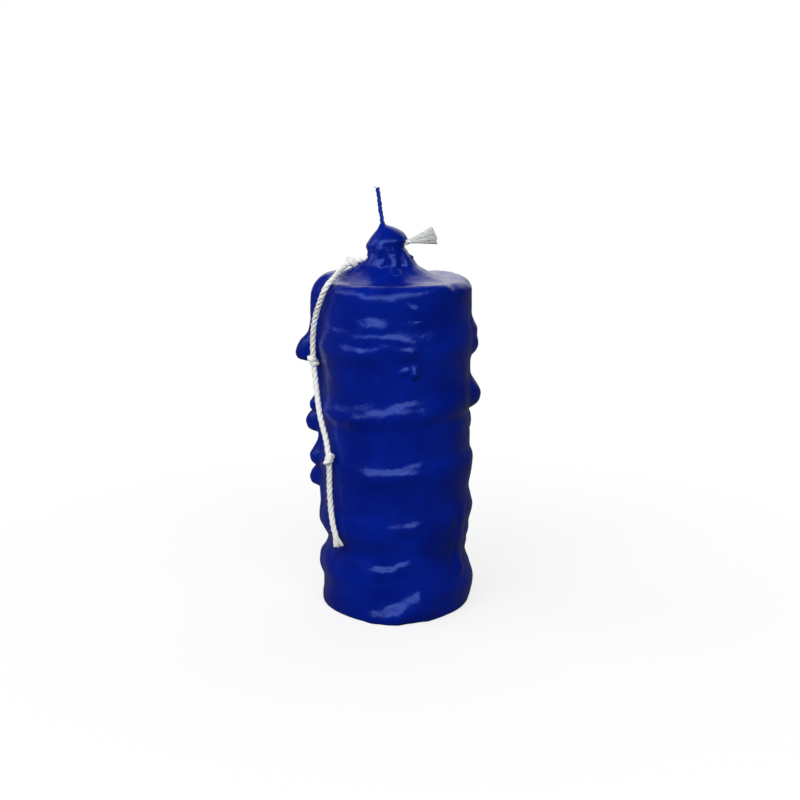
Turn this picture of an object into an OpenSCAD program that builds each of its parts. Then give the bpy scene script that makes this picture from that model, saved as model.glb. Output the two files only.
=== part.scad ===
// Devotional pillar candle: a cast wax pillar dipped in blue wax, with a knotted cotton cord tied round
// its wick and sealed in poured wax. Millimetres, +Z up, origin at the middle of the base.
// The front faces -Y. An azimuth counts from the front: 90 is the left (-X), 180 the back, 270 the right.

/* [Wax core] */
// Diameter of the cast pillar under the dipped skin
core_d = 60; // [54:1:66]
// Height of the cast pillar
core_h = 145; // [140:1:160]
// Chamfer round the top edge of the cast pillar
core_chamfer = 2; // [1:0.5:4]

/* [Dipped coat] */
// Wall of dipped wax round the pillar
coat_t = 4; // [3.5:0.25:6]
// Wax lying on top of the pillar
top_film = 5; // [3:0.5:8]
// Rounding of the shoulder
shoulder_r = 5; // [3:0.5:7]
// Rounding of the foot
foot_r = 1.5; // [0.5:0.25:2.5]
// How much of the ridges' photographed height is made
ridge_gain = 1; // [0.4:0.1:1.2]
// How much of the drips' photographed height is made
drip_gain = 1; // [0.4:0.1:1.1]

/* [Wick] */
// Diameter of the braided wick
wick_d = 2; // [1.5:0.1:3]
// Lean of the wick to the left inside the seal, in degrees
wick_lean = 13.5; // [9:0.5:15]
// Lean of the bare wick above the seal, in degrees
tip_lean = 8; // [4:0.5:14]
// Length of bare wick above the seal
wick_bare = 16.5; // [10:0.5:25]
// How much the cord pinches the wick inside the seal
wick_pinch = 0.2; // [0.1:0.05:0.4]

/* [Wick sustainer] */
// Diameter of the tin disc at the foot of the wick
disc_d = 20; // [14:1:26]
// Thickness of the tin disc
disc_t = 0.4; // [0.3:0.1:0.8]
// How far the disc sits above the base
disc_recess = 0.4; // [0.2:0.1:1]
// Outside diameter of the crimped collar
collar_d = 4; // [3.8:0.1:6]
// Height of the crimped collar
collar_h = 6; // [4:0.5:10]

/* [Wax seal] */
// Widest diameter of the onion-shaped lump
knob_d = 18.6; // [17:0.2:22]
// Length of the lump along the wick, from the shoulder to its tip
knob_len = 24.6; // [23:0.2:28]
// Height along the wick at which the lump is widest
knob_belly = 15; // [14:0.5:17]
// Diameter of the skirt that flares onto the shoulder
skirt_d = 46; // [36:1:48]
// Height of the skirt where it meets the lump
skirt_h = 11; // [8:0.5:12]
// Thickness of the skirt's edge
skirt_edge = 0.5; // [0.4:0.1:1]

/* [Cord] */
// Diameter of the twisted cotton cord
cord_d = 2.6; // [2.2:0.1:2.8]
// Height along the wick at which the cord starts its turn round it
tie_level = 12; // [11:0.5:13]
// Length of cord between the seal and the first knot
neck_run = 5; // [4:0.5:7]
// Length of the frayed tip of the hanging end
tip_len = 4.5; // [3:0.5:10]
// Width of the frayed tip at its end
tip_d = 5; // [3:0.2:7]
// Length of twisted cord between the seal and the tassel
stem_len = 2.5; // [1:0.5:6]
// Length of the frayed tassel
tassel_len = 10; // [8:0.5:18]
// Width of the tassel at its end
tassel_d = 8; // [5:0.2:12]

/* [Fits] */
// Gap between the wick and its bores
wick_fit = 0.05; // [0.02:0.01:0.2]
// Gap between the coat and the pillar
film_gap = 0.2; // [0.15:0.05:0.4]
// Gap round the sustainer in its recess
recess_fit = 0.2; // [0.1:0.05:0.5]
// Gap round the cord in the wax and in the knots
cord_fit = 0.1; // [0.05:0.05:0.25]
// Running gap between a knot and the cord that swings from it
swing_gap = 0.3; // [0.25:0.05:0.5]

/* [Hidden] */
$fn = 64;

blue_wax = [0.03, 0.11, 0.49];
core_wax = [0.10, 0.20, 0.56];
wick_blue = [0.10, 0.20, 0.55];
cotton = [0.93, 0.92, 0.89];
tin = [0.75, 0.76, 0.77];

core_r = core_d / 2;
coat_r = core_r + coat_t;
coat_top = core_h + top_film;
wick_r = wick_d / 2;
bore_r = wick_r + wick_fit;
cord_r = cord_d / 2;
knob_r = knob_d / 2;
// How far a cut runs past the face that it opens.
over = 1;

// Ridges of the dipped wax: height, how proud, half height, tilt, azimuth where the tilt is highest.
ridges = [[128.5, 0.7, 4.5, 1, 250], [121.5, 1.8, 9, 1, 250], [95, 1.3, 9.5, 4, 270],
          [89, -0.7, 4, 2, 270], [66.5, 1.2, 10.5, 1, 90], [43, 1.3, 8.5, 3.5, 270],
          [29, -2.4, 9, 2, 90], [15.5, 1.2, 7, 3.5, 90], [4.5, 0.5, 5, 1.5, 270]];

// Drips of wax: azimuth, height of the lower end, length, how proud, half width.
drips = [[97, 131, 32, 4.8, 11], [99, 113.5, 16, 9.5, 8], [98, 89, 9, 3.6, 8],
         [99, 79, 11, 7.4, 8], [98, 64.5, 10, 4, 7.5], [97, 55, 9, 4.8, 8],
         [268, 117, 12, 0.9, 9], [269, 94, 10, 2.6, 10], [150, 99, 26, 3, 7], [207, 68, 30, 3.2, 7],
         [237, 118, 22, 2.6, 7], [176, 38, 24, 2.4, 7]];

// Azimuths of the coat's outline: closer together on the left, where the drips are.
wide_step = 6;
fine_step = 3;
azimuths = [for (a = [0 : wide_step : 72]) a, for (a = [75 : fine_step : 120]) a,
            for (a = [126 : wide_step : 354]) a];
side_rings = 46;
shoulder_rings = 5;

// A bump that is 1 in its middle and runs out to 0 at a distance of 1.
function bump(u) = abs(u) < 1 ? pow(1 - u * u, 2) : 0;
// The smaller angle between two azimuths.
function apart(a, b) = abs((a - b + 540) % 360 - 180);

function ridge_rise(a, z) =
    [for (k = ridges) k[1] * bump((z - k[0] - k[3] * cos(a - k[4])) / k[2])];
// A drip swells towards its lower end, which is round.
drip_round = 0.3;
drip_taper = 1.5;
function drip_swell(t) = t <= 0 || t >= 1 ? 0
    : t < drip_round ? sqrt(1 - pow(1 - t / drip_round, 2))
    : 1 - pow((t - drip_round) / (1 - drip_round), drip_taper);
// A drip is round from side to side.
function drip_round_off(u) = u < 1 ? 1 - u * u : 0;
function drip_rise(a, z) = [for (k = drips)
    k[3] * drip_swell((z - k[1]) / k[2]) * drip_round_off(apart(a, k[0]) * PI / 180 * coat_r / k[4])];
function total(list) = list * [for (v = list) 1];
// Radius of the coat's outside at an azimuth and a height.
function skin_r(a, z) =
    coat_r + ridge_gain * total(ridge_rise(a, z)) + drip_gain * max(drip_rise(a, z));

function on_round(a, r, z) = [-r * sin(a), -r * cos(a), z];

// The coat's outline at one azimuth, from the inner foot up the outside, over the shoulder and down inside.
side_top = coat_top - shoulder_r;
hole_play = 0.8;
hole_r = bore_r + hole_play;
foot_step = 0.3 * foot_r;
inner_r = (core_r + film_gap) / cos(wide_step / 2);
inner_top = core_h + film_gap;
function side_z(i) = foot_r + (side_top - foot_r) * i / side_rings;
function coat_outline(a) = concat(
    [[inner_r, 0], [skin_r(a, 0) - foot_r, 0], [skin_r(a, 0) - foot_step, foot_step]],
    [for (i = [0 : side_rings]) [skin_r(a, side_z(i)), side_z(i)]],
    [for (i = [1 : shoulder_rings]) let (t = 90 * i / shoulder_rings)
        [skin_r(a, side_top) - shoulder_r * (1 - cos(t)), side_top + shoulder_r * sin(t)]],
    [[hole_r, coat_top], [hole_r, inner_top], [inner_r - core_chamfer, inner_top],
     [inner_r, inner_top - core_chamfer]]);

// Outlines side by side all the way round: each quad between two of them is two triangles.
function grid_faces(cols, rows) = [for (c = [0 : cols - 1]) for (r = [0 : rows - 1])
    let (p = c * rows + r, q = c * rows + (r + 1) % rows,
         s = ((c + 1) % cols) * rows + (r + 1) % rows, t = ((c + 1) % cols) * rows + r)
    each [[p, s, q], [p, t, s]]];

// The frame of the leaning wick: its origin is at the shoulder, and its z runs up the wick.
module on_wick() {
    translate([0, 0, coat_top])
        rotate([0, -wick_lean, 0])
            children();
}
function wick_point(p) = [p.x * cos(wick_lean) - p.z * sin(wick_lean), p.y,
                          coat_top + p.x * sin(wick_lean) + p.z * cos(wick_lean)];

// The turn of cord round the wick, in the wick's frame: it comes in from the left and leaves to the right.
turn_play = 0.2;
turn_gap = 0.4;
turn_r = wick_r + cord_r + turn_play;
turn_pitch = cord_d + turn_gap;
turn_steps = 16;
stub_len = 1;
exit_reach = knob_r + stub_len;
turn_points = [for (i = [0 : turn_steps]) let (a = 360 * i / turn_steps - 90)
    [turn_r * cos(a), turn_r * sin(a), tie_level + turn_pitch * i / turn_steps]];
left_exit = [-exit_reach, -turn_r, tie_level];
right_exit = [exit_reach, -turn_r, tie_level + turn_pitch];

// Knots: a ball of cord with one wrap lying askew round it, pulled a little thinner than the cord.
knot_ball_r = 0.9 * cord_d;
wrap_r = 0.96 * cord_r;
wrap_ring_r = 0.56 * cord_d;
wrap_tilt = 38;
knot_reach = wrap_ring_r + wrap_r;
// Distance from a knot's middle to the flat floor on which a cord's end sits.
knot_seat = 0.72 * cord_d;

// The route of the hanging cord, from the neck knot to its end.
neck_knot_at = wick_point(left_exit - [neck_run + knot_seat, 0, 0]);
rim_bend = [-27.5, -15.5, 151.5];
upper_knot_at = [-37, -6, 114];
lower_knot_at = [-29.5, -23.5, 73];
cord_end = [-26.5, -25.5, 37];
shoulder_route = [neck_knot_at, [-23.5, -6, 155.5], [-26, -11, 153], rim_bend];
upper_route = [rim_bend, [-29.5, -17.5, 149.5], [-31, -18, 147], [-33, -15.5, 142],
               [-35, -11.5, 136], [-36.5, -9, 129], [-37, -7, 121.5], upper_knot_at];
middle_route = [upper_knot_at, [-36, -8, 106], [-35, -11, 98], [-33.5, -15.5, 90],
                [-31, -19, 81], lower_knot_at];
lower_route = [lower_knot_at, [-29.5, -22.5, 66], [-29.5, -22, 58], [-29, -22.5, 50], [-28, -24, 43],
               cord_end];

function unit(v) = v / norm(v);
function last(list) = list[len(list) - 1];
function heading(list) = unit(list[1] - list[0]);
function arrival(list) = unit(last(list) - list[len(list) - 2]);
// A route with a length taken off each end.
function trimmed(list, at_start, at_end) = [for (i = [0 : len(list) - 1])
    i == 0 ? list[0] + at_start * heading(list)
    : i == len(list) - 1 ? list[i] - at_end * arrival(list) : list[i]];

// A round cord along a route: one ring of 8 at each point, turned to face along the route.
cord_sides = 8;
function along(list, i) = i == 0 ? heading(list)
    : i == len(list) - 1 ? arrival(list)
    : unit(unit(list[i + 1] - list[i]) + unit(list[i] - list[i - 1]));
function cord_ring(at, dir, ref, r) =
    let (u = unit(cross(dir, ref)), v = cross(dir, u))
    [for (k = [0 : cord_sides - 1]) let (a = 360 * k / cord_sides) at + r * (cos(a) * u + sin(a) * v)];
function cord_faces(rings) = concat(
    [for (i = [0 : rings - 2]) for (k = [0 : cord_sides - 1])
        let (p = i * cord_sides + k, q = i * cord_sides + (k + 1) % cord_sides)
        each [[p, q + cord_sides, q], [p, p + cord_sides, q + cord_sides]]],
    [for (k = [1 : cord_sides - 2]) [0, k, k + 1]],
    [for (k = [1 : cord_sides - 2])
        let (n = (rings - 1) * cord_sides) [n, n + k + 1, n + k]]);
// A domed end adds three shrinking rings past the last point.
dome_angles = [30, 60, 85];
module cord(route, ref = [0, 1, 0], domed = false) {
    rings = concat(
        [for (i = [0 : len(route) - 1]) cord_ring(route[i], along(route, i), ref, cord_r)],
        [for (t = domed ? dome_angles : [])
            cord_ring(last(route) + cord_r * sin(t) * arrival(route), arrival(route), ref, cord_r * cos(t))]);
    polyhedron([for (ring = rings) each ring], cord_faces(len(rings)), convexity = 6);
}

// Children at a point, with their z along a direction.
module facing(at, dir) {
    translate(at)
        rotate([0, acos(dir.z), atan2(dir.y, dir.x)])
            children();
}

// A seat for the end of a cord: a flat floor where the cord meets the knot.
module cord_seat(dir) {
    facing([0, 0, 0], dir)
        translate([0, 0, knot_seat])
            cylinder(r = cord_r + cord_fit, h = knot_reach);
}

module knot(at, axis, seats) {
    translate(at)
        difference() {
            union() {
                sphere(knot_ball_r);
                facing([0, 0, 0], axis)
                    rotate([wrap_tilt, 0, 0])
                        rotate_extrude()
                            translate([wrap_ring_r, 0])
                                circle(wrap_r);
            }
            for (dir = seats)
                cord_seat(dir);
        }
}

module wax_core() {
    color(core_wax)
        difference() {
            union() {
                cylinder(r = core_r, h = core_h - core_chamfer);
                translate([0, 0, core_h - core_chamfer])
                    cylinder(r1 = core_r, r2 = core_r - core_chamfer, h = core_chamfer);
            }
            translate([0, 0, -over])
                cylinder(r = bore_r, h = core_h + 2 * over);
            translate([0, 0, -over])
                cylinder(d = disc_d + 2 * recess_fit, h = over + disc_recess + disc_t + recess_fit);
            translate([0, 0, -over])
                cylinder(d = collar_d + 2 * recess_fit,
                         h = over + disc_recess + disc_t + collar_h + recess_fit);
        }
}

module overdip_coat() {
    outlines = [for (a = azimuths) [for (p = coat_outline(a)) on_round(a, p[0], p[1])]];
    color(blue_wax)
        polyhedron([for (outline = outlines) each outline],
                   grid_faces(len(outlines), len(outlines[0])), convexity = 10);
}

// The pinched length of the wick is sunk into the foot below it and the bare end above it.
foot_sink = 1;
bare_sink = 0.3;
module wick() {
    color(wick_blue)
        union() {
            translate([0, 0, disc_recess])
                cylinder(r = wick_r, h = coat_top - disc_recess);
            on_wick() {
                translate([0, 0, -foot_sink])
                    cylinder(d = wick_d - wick_pinch, h = foot_sink + knob_len + bare_sink);
                translate([0, 0, knob_len])
                    rotate([0, wick_lean - tip_lean, 0])
                        cylinder(r = wick_r, h = wick_bare);
            }
        }
}

module wick_sustainer() {
    color(tin)
        translate([0, 0, disc_recess])
            difference() {
                union() {
                    cylinder(d = disc_d, h = disc_t);
                    cylinder(d = collar_d, h = disc_t + collar_h);
                }
                translate([0, 0, -over])
                    cylinder(r = bore_r, h = disc_t + collar_h + 2 * over);
            }
}

// Half outline of the lump: a straight neck, a belly and a drawn-up tip.
tip_wall = 0.6;
tip_r = bore_r + tip_wall;
neck_draw = 0.6;
neck_r = knob_r - neck_draw;
neck_sink = 2;
belly_steps = 10;
belly_power = 1.6;
function dome_r(t) = tip_r + (knob_r - tip_r) * pow(1 - pow(t, belly_power), 1 / belly_power);
knob_outline = concat([[0, -skirt_h / 2], [neck_r, -skirt_h / 2], [neck_r, skirt_h - neck_sink]],
    [for (i = [0 : belly_steps]) let (t = i / belly_steps)
        [dome_r(t), knob_belly + (knob_len - knob_belly) * t]],
    [[0, knob_len]]);

// Half outline of the skirt: a hollow curve from its thin edge up to the lump.
skirt_steps = 10;
skirt_power = 2.6;
skirt_r = skirt_d / 2;
skirt_bite = 1;
skirt_top_r = neck_r - skirt_bite;
skirt_shift = 3;
skirt_outline = concat([[0, 0], [skirt_r, 0]],
    [for (i = [0 : skirt_steps]) let (t = i / skirt_steps)
        [skirt_r + (skirt_top_r - skirt_r) * t, skirt_edge + (skirt_h - skirt_edge) * pow(t, skirt_power)]],
    [[0, skirt_h]]);

// A swelling: a spindle of wax with round ends along its own z.
swelling_steps = 12;
module swelling(r, half_length) {
    rotate_extrude()
        polygon([for (i = [0 : swelling_steps]) let (t = 180 * i / swelling_steps)
            [r * sin(t), -half_length * cos(t)]]);
}

// The knot under the wax shows as a lobe on the right and a fold in front.
lobe_r = 4.6;
lobe_half = 5.6;
lobe_proud = 0.5;
lobe_lift = 0.5;
lobe_forward = 1.5;
lobe_at = wick_point([knob_r + lobe_proud - lobe_r, -lobe_forward, knob_belly + lobe_lift]);
fold_r = 3.2;
fold_half = 7.5;
fold_lean = 12;
fold_right = 0.5;
fold_inset = 2;
fold_at = [fold_right, fold_inset - knob_r, coat_top + skirt_h / 2];
// A web of wax runs out under the cord on the left.
web_r = 5.2;
web_half = 15;
web_drop = 16;
web_swing = 12;
web_out = 2;
web_forward = 2;
web_room = 0.8;
web_at = wick_point([-knob_r - web_out, -turn_r - web_forward, tie_level - cord_r - web_r - web_room]);
module seal_swellings() {
    translate(lobe_at)
        swelling(lobe_r, lobe_half);
    translate(fold_at)
        rotate([-fold_lean, 0, 0])
            swelling(fold_r, fold_half);
    translate(web_at)
        rotate([0, -90 - web_drop, web_swing])
            swelling(web_r, web_half);
}

module wax_seal() {
    color(blue_wax)
        difference() {
            union() {
                on_wick()
                    rotate_extrude()
                        polygon(knob_outline);
                translate([-skirt_shift, 0, coat_top])
                    rotate_extrude()
                        polygon(skirt_outline);
                seal_swellings();
            }
            translate([-skirt_d, -skirt_d, coat_top - 2 * skirt_h])
                cube([2 * skirt_d, 2 * skirt_d, 2 * skirt_h]);
            on_wick() {
                translate([0, 0, -2 * over])
                    cylinder(r = bore_r, h = 2 * over + knob_len + over);
                translate([0, 0, tie_level - cord_r - cord_fit])
                    cylinder(r = turn_r + cord_r + cord_fit, h = turn_pitch + cord_d + 2 * cord_fit);
                translate([0, -turn_r, tie_level])
                    rotate([0, -90, 0])
                        cylinder(r = cord_r + cord_fit, h = 2 * exit_reach);
                translate([0, -turn_r, tie_level + turn_pitch])
                    rotate([0, 90, 0])
                        cylinder(r = cord_r + cord_fit, h = 2 * exit_reach);
            }
        }
}

module cord_binding() {
    color(cotton)
        on_wick()
            cord(concat([left_exit], turn_points, [right_exit]), ref = [0, 0, 1]);
}

module cord_neck_run() {
    color(cotton)
        on_wick()
            cord([left_exit, left_exit - [neck_run, 0, 0]], ref = [0, 0, 1]);
}

module knot_neck() {
    color(cotton)
        knot(neck_knot_at, heading(shoulder_route),
             [wick_point([1, 0, 0]) - wick_point([0, 0, 0]), heading(shoulder_route)]);
}

module cord_shoulder_run() {
    color(cotton)
        cord(trimmed(shoulder_route, knot_seat, 0), domed = true);
}

module cord_upper_drop() {
    color(cotton)
        cord(trimmed(upper_route, cord_r + swing_gap, knot_seat));
}

module knot_upper() {
    color(cotton)
        knot(upper_knot_at, arrival(upper_route), [-arrival(upper_route)]);
}

module cord_middle_drop() {
    color(cotton)
        cord(trimmed(middle_route, knot_reach + swing_gap, knot_seat));
}

module knot_lower() {
    color(cotton)
        knot(lower_knot_at, arrival(middle_route), [-arrival(middle_route)]);
}

module cord_lower_drop() {
    color(cotton)
        cord(trimmed(lower_route, knot_reach + swing_gap, 0));
}

// A frayed end: a bundle that opens from the cord's width to its own, with grooves between its strands.
fray_strands = 9;
fray_groove = 0.8;
module frayed_end(to_r, length) {
    linear_extrude(height = length, scale = to_r / cord_r)
        polygon([for (k = [0 : 2 * fray_strands - 1]) let (a = 180 * k / fray_strands)
            cord_r * (k % 2 == 0 ? 1 : fray_groove) * [cos(a), sin(a)]]);
}

module frayed_tip() {
    color(cotton)
        facing(cord_end, arrival(lower_route))
            frayed_end(tip_d / 2, tip_len);
}

module tassel_stem() {
    color(cotton)
        on_wick()
            cord([right_exit, right_exit + [stem_len, 0, 0]], ref = [0, 0, 1]);
}

module tassel() {
    color(cotton)
        on_wick()
            translate(right_exit + [stem_len, 0, 0])
                rotate([0, 90, 0])
                    frayed_end(tassel_d / 2, tassel_len);
}

wax_core();
overdip_coat();
wick();
wick_sustainer();
wax_seal();
cord_binding();
tassel_stem();
tassel();
cord_neck_run();
knot_neck();
cord_shoulder_run();
cord_upper_drop();
knot_upper();
cord_middle_drop();
knot_lower();
cord_lower_drop();
frayed_tip();
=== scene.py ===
import math
import random

import bmesh
import bpy
from mathutils import Matrix, Vector, noise


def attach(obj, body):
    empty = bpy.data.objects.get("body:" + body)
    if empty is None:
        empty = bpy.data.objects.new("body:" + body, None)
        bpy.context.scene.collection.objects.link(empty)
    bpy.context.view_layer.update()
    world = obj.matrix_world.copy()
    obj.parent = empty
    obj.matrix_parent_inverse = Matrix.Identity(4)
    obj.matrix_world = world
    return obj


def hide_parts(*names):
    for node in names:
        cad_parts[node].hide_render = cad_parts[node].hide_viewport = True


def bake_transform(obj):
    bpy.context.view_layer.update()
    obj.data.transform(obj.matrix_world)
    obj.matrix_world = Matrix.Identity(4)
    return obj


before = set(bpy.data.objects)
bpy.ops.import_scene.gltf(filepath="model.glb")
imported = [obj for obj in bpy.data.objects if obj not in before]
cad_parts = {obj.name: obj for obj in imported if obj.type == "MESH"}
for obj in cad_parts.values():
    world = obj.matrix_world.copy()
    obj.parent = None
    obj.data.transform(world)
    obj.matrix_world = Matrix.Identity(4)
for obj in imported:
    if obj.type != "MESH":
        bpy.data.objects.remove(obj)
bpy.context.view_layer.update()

# Shapes are in millimetres and become metres where a mesh is made. Materials and lamps are in metres.
MM = 0.001
RIGHT = Vector((1, 0, 0))
BACK = Vector((0, 1, 0))
UP = Vector((0, 0, 1))


# Small sums. Angles are in degrees.
def bump(u):
    """1 in the middle, running out to 0 at a distance of 1."""
    return (1 - u * u) ** 2 if abs(u) < 1 else 0.0


def ease(t):
    """From 0 to 1 with level ends."""
    t = min(1.0, max(0.0, t))
    return t * t * (3 - 2 * t)


def angle_from(b, a):
    """The angle from azimuth b on to azimuth a, between -180 and 180."""
    return (a - b + 540) % 360 - 180


def apart(a, b):
    """The smaller angle between two azimuths."""
    return abs(angle_from(b, a))


def cosine(degrees):
    return math.cos(math.radians(degrees))


def sine(degrees):
    return math.sin(math.radians(degrees))


# Camera: where the photograph was taken from.
CAMERA_AT = Vector((1.8, -570, 220))
CAMERA_PITCH = 12.4
CAMERA_LENS = 57.74
CAMERA_SENSOR = 36

camera_data = bpy.data.cameras.new("camera")
camera_data.sensor_width = CAMERA_SENSOR
camera_data.lens = CAMERA_LENS
camera = bpy.data.objects.new("camera", camera_data)
camera.location = CAMERA_AT * MM
camera.rotation_euler = (math.radians(90 - CAMERA_PITCH), 0, 0)
bpy.context.scene.collection.objects.link(camera)
bpy.context.scene.camera = camera


# Materials.
def set_inputs(node, values):
    """Set a node's inputs by name, with an underscore for each space."""
    for name, value in values.items():
        node.inputs[name.replace("_", " ")].default_value = value


def node_of(tree, kind, **inputs):
    """A new node with its inputs set by name."""
    made = tree.nodes.new(kind)
    set_inputs(made, inputs)
    return made


def ramp_of(tree, factor, stops):
    """A colour ramp over a factor, with a stop for each (place, colour)."""
    ramp = tree.nodes.new("ShaderNodeValToRGB")
    while len(ramp.color_ramp.elements) < len(stops):
        ramp.color_ramp.elements.new(0.5)
    for element, (place, colour) in zip(ramp.color_ramp.elements, stops):
        element.position = place
        element.color = (*colour, 1)
    tree.links.new(factor, ramp.inputs["Fac"])
    return ramp.outputs["Color"]


def noise_over(tree, scale, detail, rough=0.5):
    """Noise over the object, in lumps of one over the scale metres."""
    coords = tree.nodes.new("ShaderNodeTexCoord")
    made = node_of(tree, "ShaderNodeTexNoise", Scale=scale, Detail=detail, Roughness=rough)
    tree.links.new(coords.outputs["Object"], made.inputs["Vector"])
    return made.outputs["Fac"]


# Most of a noise lies between these two values.
NOISE_LOW = 0.3
NOISE_HIGH = 0.7


def range_of(tree, factor, low, high):
    """A noise spread from low to high."""
    made = node_of(tree, "ShaderNodeMapRange", From_Min=NOISE_LOW, From_Max=NOISE_HIGH,
                   To_Min=low, To_Max=high)
    tree.links.new(factor, made.inputs["Value"])
    return made.outputs["Result"]


def bump_of(tree, height, distance, strength, under=None):
    """Bumps of a height given in metres by distance, on top of other bumps."""
    made = node_of(tree, "ShaderNodeBump", Distance=distance, Strength=strength)
    tree.links.new(height, made.inputs["Height"])
    if under is not None:
        tree.links.new(under, made.inputs["Normal"])
    return made.outputs["Normal"]


def finish_named(name, **constants):
    """A material with one main shader, whose constant values are set on its own sockets."""
    material = bpy.data.materials.new(name)
    material.use_nodes = True
    shader = material.node_tree.nodes["Principled BSDF"]
    set_inputs(shader, constants)
    return material, material.node_tree, shader


# The shine of the wax is tinted by its dye, except where it is seen along the surface.
SHEEN_TINT = (0.3, 0.48, 1.0, 1)


def dipped_wax(name, dark, light, gloss):
    """Glossy blue wax: uneven in depth of colour, with soft dimples, puckers and a faint skin."""
    material, tree, shader = finish_named(name, Specular_IOR_Level=0.5, IOR=1.44, Specular_Tint=SHEEN_TINT)
    depth = noise_over(tree, scale=45, detail=3)
    tree.links.new(ramp_of(tree, depth, [(0.35, dark), (0.65, light)]), shader.inputs["Base Color"])
    cloud = noise_over(tree, scale=160, detail=4, rough=0.6)
    tree.links.new(range_of(tree, cloud, *gloss), shader.inputs["Roughness"])
    dimples = bump_of(tree, noise_over(tree, scale=150, detail=2), distance=0.0007, strength=0.5)
    wrinkles = noise_over(tree, scale=520, detail=4, rough=0.65)
    pucker = bump_of(tree, wrinkles, distance=0.0003, strength=0.8, under=dimples)
    grain = noise_over(tree, scale=2200, detail=2)
    skin = bump_of(tree, grain, distance=0.00003, strength=0.5, under=pucker)
    tree.links.new(skin, shader.inputs["Normal"])
    return material


def cotton(name, shade, light):
    """Soft white cotton with fine fibres."""
    material, tree, shader = finish_named(name, Roughness=0.92, Specular_IOR_Level=0.15, Sheen_Weight=0.25)
    fibre = noise_over(tree, scale=2600, detail=4, rough=0.65)
    tree.links.new(ramp_of(tree, fibre, [(0.3, shade), (0.62, light)]), shader.inputs["Base Color"])
    fluff = noise_over(tree, scale=4200, detail=3, rough=0.6)
    fuzz = bump_of(tree, fluff, distance=0.00018, strength=0.6)
    tree.links.new(fuzz, shader.inputs["Normal"])
    return material


def tin_plate(name, dark, light):
    """Stamped tin: bright metal with fine scratches."""
    material, tree, shader = finish_named(name, Metallic=1.0)
    stain = noise_over(tree, scale=300, detail=5, rough=0.6)
    tree.links.new(ramp_of(tree, stain, [(0.35, dark), (0.65, light)]), shader.inputs["Base Color"])
    tree.links.new(range_of(tree, stain, 0.28, 0.45), shader.inputs["Roughness"])
    scratches = bump_of(tree, noise_over(tree, scale=5000, detail=2), distance=0.00003, strength=0.4)
    tree.links.new(scratches, shader.inputs["Normal"])
    return material


blue_wax = dipped_wax("blue_wax", dark=(0.0, 0.0061, 0.168), light=(0.0002, 0.011, 0.242),
                      gloss=(0.16, 0.26))
cut_wax = dipped_wax("cut_wax", dark=(0.008, 0.03, 0.22), light=(0.015, 0.045, 0.28), gloss=(0.5, 0.65))
wick_wax = dipped_wax("wick_wax", dark=(0.001, 0.009, 0.16), light=(0.006, 0.03, 0.30), gloss=(0.4, 0.6))
white_cotton = cotton("white_cotton", shade=(0.62, 0.62, 0.58), light=(0.86, 0.86, 0.83))
# The tassel's cotton is a greyer copy of the cord's: painted shade, for the shade the fan hangs in.
shaded_cotton = cotton("shaded_cotton", shade=(0.46, 0.48, 0.46), light=(0.7, 0.73, 0.7))
tin = tin_plate("tinplate", dark=(0.5, 0.5, 0.52), light=(0.66, 0.67, 0.69))


# Making meshes. Points closer together than these are one.
GRID_MERGE = 0.001
TUBE_MERGE = 0.0005


def piece_from(bm, name, material, body, slot, *nodes):
    """A finished piece that rides on a body and stands for CAD nodes."""
    mesh = bpy.data.meshes.new(name)
    bm.to_mesh(mesh)
    bm.free()
    for face in mesh.polygons:
        face.use_smooth = True
    mesh.materials.clear()
    mesh.materials.append(material)
    piece = bpy.data.objects.new(name, mesh)
    bpy.context.scene.collection.objects.link(piece)
    if body is not None:
        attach(piece, body)
    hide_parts(*nodes)
    return piece


def closed_grid(columns):
    """A grid wrapped both ways round a ring. Columns are closed outlines of points in millimetres."""
    across, along = len(columns), len(columns[0])
    bm = bmesh.new()
    bmesh.ops.create_grid(bm, x_segments=across, y_segments=along, size=0.5)
    for vert in bm.verts:
        column = round((vert.co.x + 0.5) * across) % across
        row = round((vert.co.y + 0.5) * along) % along
        vert.co = Vector(columns[column][row]) * MM
    bmesh.ops.remove_doubles(bm, verts=bm.verts, dist=GRID_MERGE * MM)
    bmesh.ops.recalc_face_normals(bm, faces=bm.faces)
    return bm


def smooth_line(points, step):
    """Points about a step apart on a smooth curve through the given points."""
    knots = [Vector(p) for p in points]
    ends = [2 * knots[0] - knots[1]] + knots + [2 * knots[-1] - knots[-2]]
    line = [knots[0]]
    for p0, p1, p2, p3 in zip(ends, ends[1:], ends[2:], ends[3:]):
        count = max(2, round((p2 - p1).length / step))
        for i in range(1, count + 1):
            t = i / count
            line.append(0.5 * (2 * p1 + (p2 - p0) * t + (2 * p0 - 5 * p1 + 4 * p2 - p3) * t ** 2
                               + (3 * p1 - p0 - 3 * p2 + p3) * t ** 3))
    return line


def line_length(line):
    return sum((q - p).length for p, q in zip(line, line[1:]))


def arrival(line):
    """The way a line goes at its end."""
    return line[-1] - line[-2]


def side_frames(line):
    """At each point of a line, two directions square to it that don't twist along it."""
    heading = (line[1] - line[0]).normalized()
    side = heading.orthogonal().normalized()
    found = []
    for i in range(len(line)):
        ahead = (line[min(i + 1, len(line) - 1)] - line[max(i - 1, 0)]).normalized()
        side = (side - ahead * side.dot(ahead)).normalized()
        found.append((side, ahead.cross(side)))
    return found


# How fast a slack strand wanders, how unlike two strands are, and how far a strand comes off its cord.
WANDER_RATE = 0.4
WANDER_UNLIKE = 7.3
WANDER_OFF = 0.5


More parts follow.
